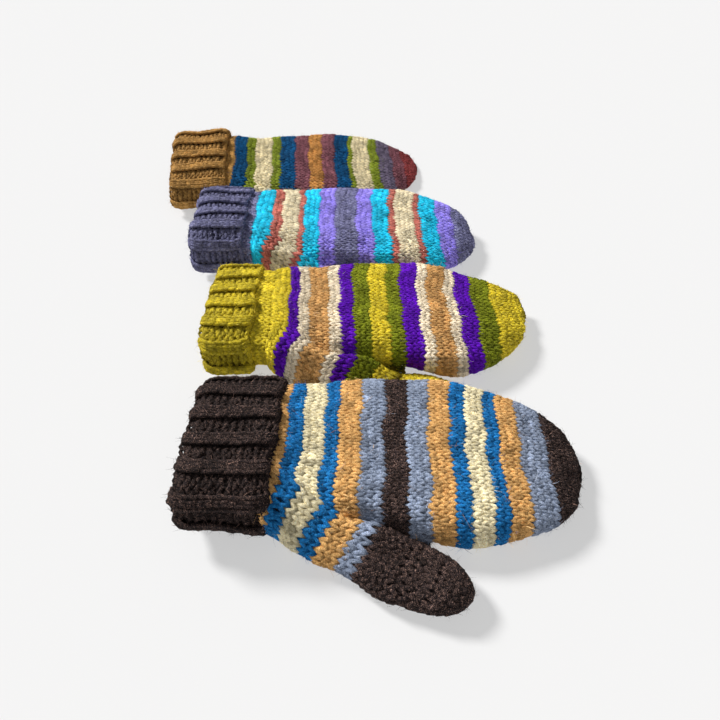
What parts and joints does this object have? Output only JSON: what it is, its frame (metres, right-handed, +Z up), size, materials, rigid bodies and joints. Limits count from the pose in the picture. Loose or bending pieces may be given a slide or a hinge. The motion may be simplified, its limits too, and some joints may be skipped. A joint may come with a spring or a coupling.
{
  "type": "knitted mittens",
  "caption": "Striped wool mittens with turned-up ribbed cuffs and fleece linings, laid palm up in an overlapping row; fingers and thumbs flex.",
  "frame": {"origin": "on the flat underside of the rear mitten, below the middle of its hand", "axes": "+X from the cuffs to the finger tips, +Y from the front mitten to the rear one, +Z up"},
  "size_m": [0.339, 0.5245, 0.0498],
  "materials": {
    "brown_rib": "2x2 ribbed wool knit, matt and fuzzy",
    "brown_knit": "striped stockinette wool knit, matt and fuzzy",
    "brown_thumb_knit": "stockinette wool knit, matt and fuzzy",
    "green_rib": "2x2 ribbed wool knit, matt and fuzzy",
    "green_knit": "striped stockinette wool knit, matt and fuzzy",
    "green_thumb_knit": "stockinette wool knit, matt and fuzzy",
    "indigo_rib": "2x2 ribbed wool knit, matt and fuzzy",
    "indigo_knit": "striped stockinette wool knit, matt and fuzzy",
    "indigo_thumb_knit": "stockinette wool knit, matt and fuzzy",
    "mustard_rib": "2x2 ribbed wool knit, matt and fuzzy",
    "mustard_knit": "striped stockinette wool knit, matt and fuzzy",
    "mustard_thumb_knit": "stockinette wool knit, matt and fuzzy",
    "fleece": "brushed fleece, cream"
  },
  "bodies": {
    "brown_hand": {"brown_wrist": "brown_rib", "brown_palm": "brown_knit", "brown_palm_lining": "fleece"},
    "brown_fingers": {"brown_fingers": "brown_knit", "brown_finger_lining": "fleece"},
    "brown_thumb": {"brown_thumb": "brown_thumb_knit", "brown_thumb_lining": "fleece"},
    "brown_cuff": {"brown_cuff": "brown_rib"},
    "green_hand": {"green_wrist": "green_rib", "green_palm": "green_knit", "green_palm_lining": "fleece"},
    "green_fingers": {"green_fingers": "green_knit", "green_finger_lining": "fleece"},
    "green_thumb": {"green_thumb": "green_thumb_knit", "green_thumb_lining": "fleece"},
    "green_cuff": {"green_cuff": "green_rib"},
    "indigo_hand": {"indigo_wrist": "indigo_rib", "indigo_palm": "indigo_knit", "indigo_palm_lining": "fleece"},
    "indigo_fingers": {"indigo_fingers": "indigo_knit", "indigo_finger_lining": "fleece"},
    "indigo_thumb": {"indigo_thumb": "indigo_thumb_knit", "indigo_thumb_lining": "fleece"},
    "indigo_cuff": {"indigo_cuff": "indigo_rib"},
    "mustard_hand": {"mustard_wrist": "mustard_rib", "mustard_palm": "mustard_knit", "mustard_palm_lining": "fleece"},
    "mustard_fingers": {"mustard_fingers": "mustard_knit", "mustard_finger_lining": "fleece"},
    "mustard_thumb": {"mustard_thumb": "mustard_thumb_knit", "mustard_thumb_lining": "fleece"},
    "mustard_cuff": {"mustard_cuff": "mustard_rib"}
  },
  "joints": [
    {"name": "mustard_knuckle_fold", "type": "hinge", "parent": "mustard_hand", "child": "mustard_fingers", "pos_m": [0.02583, 0.00568, 0.03079], "axis": [0.0777, -0.9871, -0.1402], "range_deg": [0, 60]},
    {"name": "mustard_thumb_swing", "type": "hinge", "parent": "mustard_hand", "child": "mustard_thumb", "pos_m": [0.01685, -0.08912, 0.00575], "axis": [0, 0, -1], "range_deg": [0, 8]},
    {"name": "mustard_cuff_turn_down", "type": "slide", "parent": "mustard_hand", "child": "mustard_cuff", "axis": [-0.9969, -0.0785, 0], "range_m": [0, 0.054]},
    {"name": "indigo_lift_off", "type": "slide", "parent": "mustard_hand", "child": "indigo_hand", "axis": [0, 0, 1], "range_m": [0, 0.15]},
    {"name": "indigo_knuckle_fold", "type": "hinge", "parent": "indigo_hand", "child": "indigo_fingers", "pos_m": [0.0711, -0.11582, 0.03597], "axis": [0.0262, -0.9997, 0.0026], "range_deg": [0, 60]},
    {"name": "indigo_thumb_swing", "type": "hinge", "parent": "indigo_hand", "child": "indigo_thumb", "pos_m": [0.05717, -0.20988, 0.00575], "axis": [0, 0, -1], "range_deg": [0, 8]},
    {"name": "indigo_cuff_turn_down", "type": "slide", "parent": "indigo_hand", "child": "indigo_cuff", "axis": [-0.9997, -0.0262, 0], "range_m": [0, 0.045]},
    {"name": "green_lift_off", "type": "slide", "parent": "indigo_hand", "child": "green_hand", "axis": [0, 0, 1], "range_m": [0, 0.15]},
    {"name": "green_knuckle_fold", "type": "hinge", "parent": "green_hand", "child": "green_fingers", "pos_m": [0.09704, -0.23568, 0.035], "axis": [0.0349, -0.9992, 0.0215], "range_deg": [0, 60]},
    {"name": "green_thumb_swing", "type": "hinge", "parent": "green_hand", "child": "green_thumb", "pos_m": [0.08419, -0.32797, 0.00563], "axis": [0, 0, -1], "range_deg": [0, 8]},
    {"name": "green_cuff_turn_down", "type": "slide", "parent": "green_hand", "child": "green_cuff", "axis": [-0.9994, -0.0349, 0], "range_m": [0, 0.0343]},
    {"name": "brown_lift_off", "type": "slide", "parent": "green_hand", "child": "brown_hand", "axis": [0, 0, 1], "range_m": [0, 0.15]},
    {"name": "brown_knuckle_fold", "type": "hinge", "parent": "brown_hand", "child": "brown_fingers", "pos_m": [0.10632, -0.36388, 0.0347], "axis": [-0.0262, -0.9996, -0.0117], "range_deg": [0, 60]},
    {"name": "brown_thumb_swing", "type": "hinge", "parent": "brown_hand", "child": "brown_thumb", "pos_m": [0.08819, -0.45223, 0.01013], "axis": [0, 0, -1], "range_deg": [0, 30]},
    {"name": "brown_cuff_turn_down", "type": "slide", "parent": "brown_hand", "child": "brown_cuff", "axis": [-0.9997, 0.0262, 0], "range_m": [0, 0.0511]}
  ]
}
